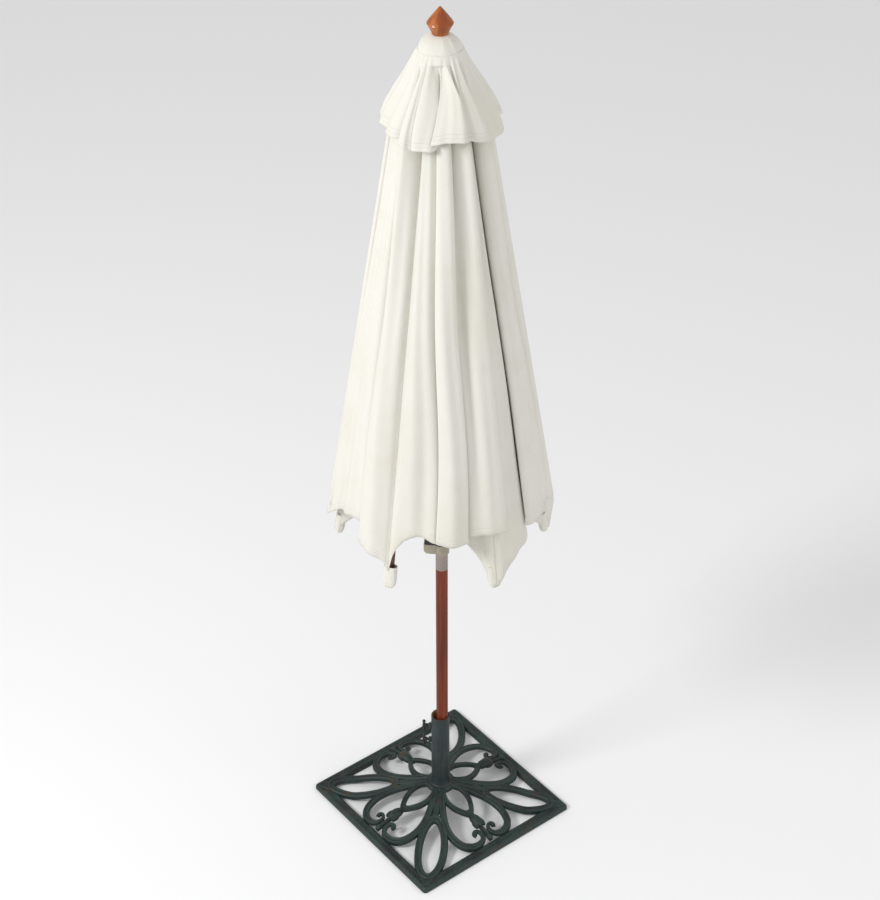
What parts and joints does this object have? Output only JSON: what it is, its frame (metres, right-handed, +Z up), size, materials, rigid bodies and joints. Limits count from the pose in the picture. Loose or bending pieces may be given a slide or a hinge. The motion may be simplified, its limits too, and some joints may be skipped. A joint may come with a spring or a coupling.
{
  "type": "patio umbrella with base",
  "caption": "Closed market-style patio umbrella with crank lift and vented cloth canopy, standing in a square open-work cast stand with thumb-screw socket.",
  "frame": {"origin": "on the floor, where the pole's axis meets it", "axes": "+Z up along the pole; the crank and the thumb screws are towards -X and -Y; the stand's sides lie along X and Y"},
  "size_m": [0.577, 0.5768, 2.42],
  "materials": {
    "cast_verdigris": "dark green patina, cast",
    "stem_paint": "satin dark green paint",
    "liner_plastic": "tan moulded plastic",
    "bolt_steel": "zinc plated",
    "screw_black": "black",
    "pole_wood": "red-brown stained hardwood, satin",
    "ferrule_metal": "warm grey satin metal",
    "bracket_metal": "champagne cast alloy",
    "crank_black": "black moulded plastic",
    "crank_steel": "plated steel",
    "hub_wood": "dark stained hardwood",
    "pin_brass": "bare brass",
    "finial_wood": "orange-brown varnished hardwood",
    "rib_wood": "dark brown stained hardwood",
    "canopy_cloth": "woven off-white polyester"
  },
  "bodies": {
    "base": {"base_plate": "cast_verdigris", "base_stem": "stem_paint", "stem_liner": "liner_plastic", "stem_nuts": "stem_paint", "stem_bolt": "bolt_steel"},
    "umbrella": {"lower_pole": "pole_wood", "pole_ferrule": "ferrule_metal", "upper_pole": "pole_wood", "crank_bracket": "bracket_metal", "crank_case": "crank_black", "crown_hub": "hub_wood", "crown_pins": "pin_brass", "finial": "finial_wood", "canopy_cap": "canopy_cloth"},
    "crank": {"crank_reel": "crank_steel", "crank_arm": "crank_steel"},
    "crank_knob": {"crank_knob": "crank_black"},
    "runner": {"runner": "hub_wood"},
    "upper_thumb_screw": {"upper_thumb_screw": "screw_black"},
    "lower_thumb_screw": {"lower_thumb_screw": "screw_black"},
    "rib_1": {"rib_1": "rib_wood", "rib_pin_1": "pin_brass", "rib_pocket_1": "canopy_cloth"},
    "stretcher_1": {"stretcher_1": "rib_wood"},
    "canopy_1": {"canopy_panel_1": "canopy_cloth", "vent_panel_1": "canopy_cloth"},
    "rib_2": {"rib_2": "rib_wood", "rib_pin_2": "pin_brass", "rib_pocket_2": "canopy_cloth"},
    "stretcher_2": {"stretcher_2": "rib_wood"},
    "canopy_2": {"canopy_panel_2": "canopy_cloth", "vent_panel_2": "canopy_cloth"},
    "rib_3": {"rib_3": "rib_wood", "rib_pin_3": "pin_brass", "rib_pocket_3": "canopy_cloth"},
    "stretcher_3": {"stretcher_3": "rib_wood"},
    "canopy_3": {"canopy_panel_3": "canopy_cloth", "vent_panel_3": "canopy_cloth"},
    "rib_4": {"rib_4": "rib_wood", "rib_pin_4": "pin_brass", "rib_pocket_4": "canopy_cloth"},
    "stretcher_4": {"stretcher_4": "rib_wood"},
    "canopy_4": {"canopy_panel_4": "canopy_cloth", "vent_panel_4": "canopy_cloth"},
    "rib_5": {"rib_5": "rib_wood", "rib_pin_5": "pin_brass", "rib_pocket_5": "canopy_cloth"},
    "stretcher_5": {"stretcher_5": "rib_wood"},
    "canopy_5": {"canopy_panel_5": "canopy_cloth", "vent_panel_5": "canopy_cloth"},
    "rib_6": {"rib_6": "rib_wood", "rib_pin_6": "pin_brass", "rib_pocket_6": "canopy_cloth"},
    "stretcher_6": {"stretcher_6": "rib_wood"},
    "canopy_6": {"canopy_panel_6": "canopy_cloth", "vent_panel_6": "canopy_cloth"}
  },
  "joints": [
    {"name": "pole_lift", "type": "slide", "parent": "base", "child": "umbrella", "axis": [0, 0, 1], "range_m": [0, 0.23]},
    {"name": "canopy_open", "type": "hinge", "parent": "umbrella", "child": "rib_1", "pos_m": [0.03169, -0.00445, 2.3044], "axis": [-0.1392, -0.9903, 0], "range_deg": [0, 54.5]},
    {"name": "stretcher_hinge_1", "type": "hinge", "parent": "rib_1", "child": "stretcher_1", "pos_m": [0.12283, -0.01726, 1.78245], "axis": [-0.1392, -0.9903, 0], "range_deg": [-109.2, 0]},
    {"name": "canopy_fan_1", "type": "hinge", "parent": "rib_1", "child": "canopy_1", "pos_m": [0.03426, 0.01384, 2.3044], "axis": [0.8468, 0.3421, -0.4073], "range_deg": [0, 53.04]},
    {"name": "rib_hinge_2", "type": "hinge", "parent": "umbrella", "child": "rib_2", "pos_m": [0.0197, 0.02522, 2.3044], "axis": [0.788, -0.6157, 0], "range_deg": [0, 54.6]},
    {"name": "stretcher_hinge_2", "type": "hinge", "parent": "rib_2", "child": "stretcher_2", "pos_m": [0.07636, 0.09774, 1.78245], "axis": [0.788, -0.6157, 0], "range_deg": [-109.2, 0]},
    {"name": "canopy_fan_2", "type": "hinge", "parent": "rib_2", "child": "canopy_2", "pos_m": [0.00514, 0.03659, 2.3044], "axis": [0.1271, 0.9044, -0.4073], "range_deg": [0, 53.04]},
    {"name": "rib_hinge_3", "type": "hinge", "parent": "umbrella", "child": "rib_3", "pos_m": [-0.01199, 0.02967, 2.3044], "axis": [0.9272, 0.3746, 0], "range_deg": [0, 54.6]},
    {"name": "stretcher_hinge_3", "type": "hinge", "parent": "rib_3", "child": "stretcher_3", "pos_m": [-0.04646, 0.115, 1.78245], "axis": [0.9272, 0.3746, 0], "range_deg": [-109.2, 0]},
    {"name": "canopy_fan_3", "type": "hinge", "parent": "rib_3", "child": "canopy_3", "pos_m": [-0.02912, 0.02275, 2.3044], "axis": [-0.7197, 0.5623, -0.4073], "range_deg": [0, 53.04]},
    {"name": "rib_hinge_4", "type": "hinge", "parent": "umbrella", "child": "rib_4", "pos_m": [-0.03169, 0.00445, 2.3044], "axis": [0.1392, 0.9903, 0], "range_deg": [0, 54.6]},
    {"name": "stretcher_hinge_4", "type": "hinge", "parent": "rib_4", "child": "stretcher_4", "pos_m": [-0.12283, 0.01726, 1.78245], "axis": [0.1392, 0.9903, 0], "range_deg": [-109.2, 0]},
    {"name": "canopy_fan_4", "type": "hinge", "parent": "rib_4", "child": "canopy_4", "pos_m": [-0.03426, -0.01384, 2.3044], "axis": [-0.8468, -0.3421, -0.4073], "range_deg": [0, 53.04]},
    {"name": "rib_hinge_5", "type": "hinge", "parent": "umbrella", "child": "rib_5", "pos_m": [-0.0197, -0.02522, 2.3044], "axis": [-0.788, 0.6157, 0], "range_deg": [0, 54.6]},
    {"name": "stretcher_hinge_5", "type": "hinge", "parent": "rib_5", "child": "stretcher_5", "pos_m": [-0.07636, -0.09774, 1.78245], "axis": [-0.788, 0.6157, 0], "range_deg": [-109.2, 0]},
    {"name": "canopy_fan_5", "type": "hinge", "parent": "rib_5", "child": "canopy_5", "pos_m": [-0.00514, -0.03659, 2.3044], "axis": [-0.1271, -0.9044, -0.4073], "range_deg": [0, 53.04]},
    {"name": "rib_hinge_6", "type": "hinge", "parent": "umbrella", "child": "rib_6", "pos_m": [0.01199, -0.02967, 2.3044], "axis": [-0.9272, -0.3746, 0], "range_deg": [0, 54.6]},
    {"name": "stretcher_hinge_6", "type": "hinge", "parent": "rib_6", "child": "stretcher_6", "pos_m": [0.04646, -0.115, 1.78245], "axis": [-0.9272, -0.3746, 0], "range_deg": [-109.2, 0]},
    {"name": "canopy_fan_6", "type": "hinge", "parent": "rib_6", "child": "canopy_6", "pos_m": [0.02912, -0.02275, 2.3044], "axis": [0.7197, -0.5623, -0.4073], "range_deg": [0, 53.04]},
    {"name": "runner_slide", "type": "slide", "parent": "umbrella", "child": "runner", "axis": [0, 0, 1], "range_m": [0, 0.58855]},
    {"name": "crank_turn", "type": "hinge", "parent": "umbrella", "child": "crank", "pos_m": [-0.02139, -0.02139, 0.9812], "axis": [0.7071, -0.7071, 0], "range_deg": [0, 3367.44]},
    {"name": "knob_spin", "type": "hinge", "parent": "crank", "child": "crank_knob", "pos_m": [-0.02139, -0.02139, 1.0692], "axis": [0.7071, -0.7071, 0], "continuous": true},
    {"name": "upper_screw_turn", "type": "hinge", "parent": "base", "child": "upper_thumb_screw", "pos_m": [-0.00368, -0.00368, 0.281], "axis": [0.7071, 0.7071, 0], "range_deg": [0, 1080]},
    {"name": "lower_screw_turn", "type": "hinge", "parent": "base", "child": "lower_thumb_screw", "pos_m": [-0.00368, -0.00368, 0.229], "axis": [0.7071, 0.7071, 0], "range_deg": [0, 1080]}
  ],
  "couplings": [
    {"joint": "stretcher_hinge_1", "follows": "canopy_open", "ratio": -2},
    {"joint": "canopy_fan_1", "follows": "canopy_open", "ratio": 0.97134},
    {"joint": "rib_hinge_2", "follows": "canopy_open", "ratio": 1},
    {"joint": "stretcher_hinge_2", "follows": "canopy_open", "ratio": -2},
    {"joint": "canopy_fan_2", "follows": "canopy_open", "ratio": 0.97134},
    {"joint": "rib_hinge_3", "follows": "canopy_open", "ratio": 1},
    {"joint": "stretcher_hinge_3", "follows": "canopy_open", "ratio": -2},
    {"joint": "canopy_fan_3", "follows": "canopy_open", "ratio": 0.97134},
    {"joint": "rib_hinge_4", "follows": "canopy_open", "ratio": 1},
    {"joint": "stretcher_hinge_4", "follows": "canopy_open", "ratio": -2},
    {"joint": "canopy_fan_4", "follows": "canopy_open", "ratio": 0.97134},
    {"joint": "rib_hinge_5", "follows": "canopy_open", "ratio": 1},
    {"joint": "stretcher_hinge_5", "follows": "canopy_open", "ratio": -2},
    {"joint": "canopy_fan_5", "follows": "canopy_open", "ratio": 0.97134},
    {"joint": "rib_hinge_6", "follows": "canopy_open", "ratio": 1},
    {"joint": "stretcher_hinge_6", "follows": "canopy_open", "ratio": -2},
    {"joint": "canopy_fan_6", "follows": "canopy_open", "ratio": 0.97134},
    {"joint": "runner_slide", "follows": "canopy_open", "m_per_rad": 0.6177},
    {"joint": "crank_turn", "follows": "canopy_open", "ratio": 61.77}
  ]
}
